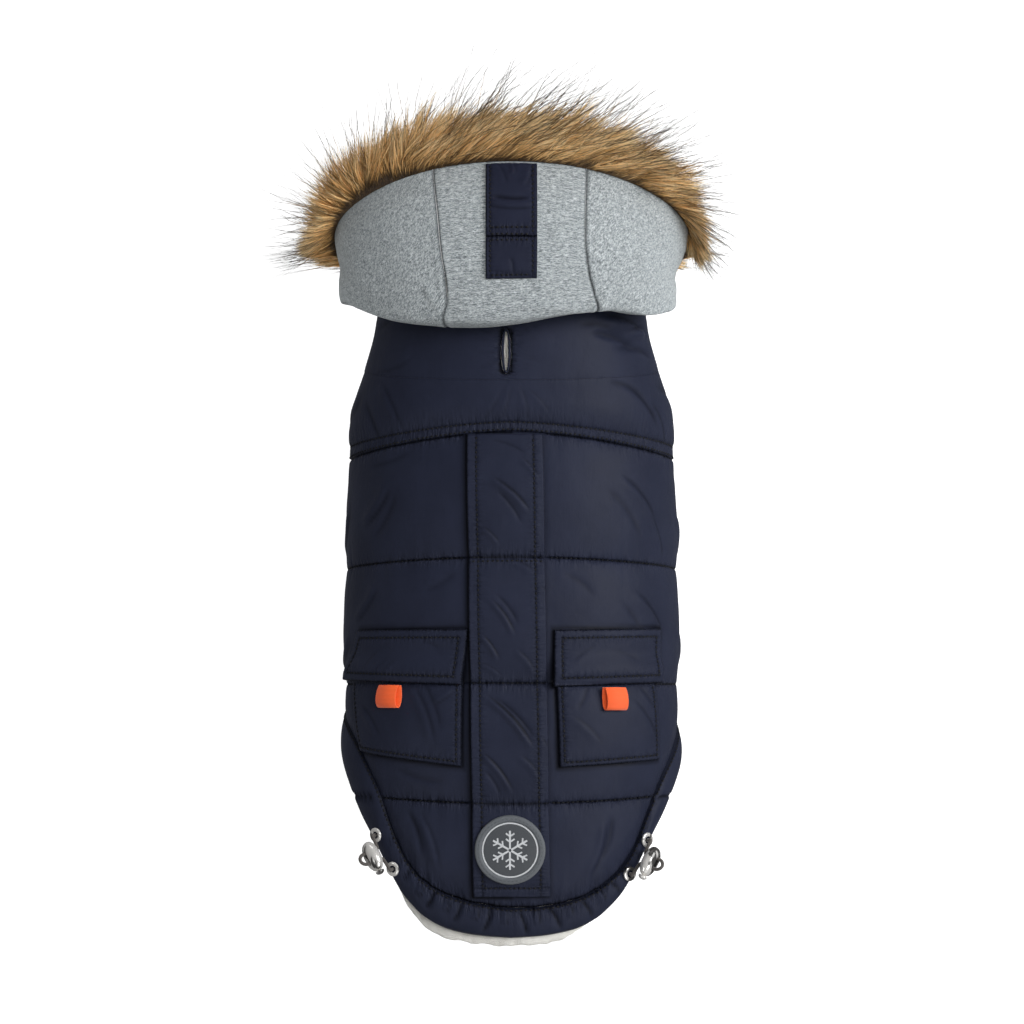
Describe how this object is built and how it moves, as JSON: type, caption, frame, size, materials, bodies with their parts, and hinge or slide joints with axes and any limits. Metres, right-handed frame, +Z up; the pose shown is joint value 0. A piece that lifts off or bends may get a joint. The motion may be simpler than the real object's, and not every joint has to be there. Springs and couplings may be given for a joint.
{
  "type": "dog parka",
  "caption": "Padded quilted dog coat with a hood, fur trim round the face opening, flap pockets, a bound leash slot and an elastic drawstring hem.",
  "frame": {"origin": "on the lining's inner face at the withers, in the middle of the back, where the dog holds the coat up", "axes": "+Y runs from the tail to the head, +X is the dog's right side and +Z is up from the back"},
  "size_m": [0.2843, 0.4993, 0.2258],
  "materials": {
    "navy_shell": "padded woven nylon with a soft satin sheen",
    "navy_webbing": "flat stitched navy cloth",
    "grey_jersey": "heather grey brushed jersey",
    "sherpa": "off-white curly pile",
    "fur": "tan fur with dark guard hairs",
    "orange_ribbon": "plain woven ribbon",
    "grey_rubber": "moulded soft rubber, matt",
    "polished_metal": "polished",
    "elastic_cord": "braided elastic cord"
  },
  "bodies": {
    "root": {"back_panel": "navy_shell", "badge": "grey_rubber", "chest_panel": "navy_shell", "collar": "navy_shell", "cord_left": "elastic_cord", "cord_lock_left": "polished_metal", "cord_lock_right": "polished_metal", "cord_right": "elastic_cord", "eyelet_front_left": "polished_metal", "eyelet_front_right": "polished_metal", "eyelet_rear_left": "polished_metal", "eyelet_rear_right": "polished_metal", "fur_trim": "fur", "hem_band": "navy_shell", "hood_centre": "grey_jersey", "hood_left": "grey_jersey", "hood_right": "grey_jersey", "hood_strap_lower": "navy_webbing", "hood_strap_upper": "navy_webbing", "leash_slot_binding": "navy_webbing", "lining": "sherpa", "lock_button_left": "polished_metal", "lock_button_right": "polished_metal", "placket": "navy_shell", "pocket_bag_left": "navy_shell", "pocket_bag_right": "navy_shell", "pocket_flap_left": "navy_shell", "pocket_flap_right": "navy_shell", "ribbon_loop_left": "orange_ribbon", "ribbon_loop_right": "orange_ribbon", "yoke": "navy_shell"}
  },
  "joints": []
}
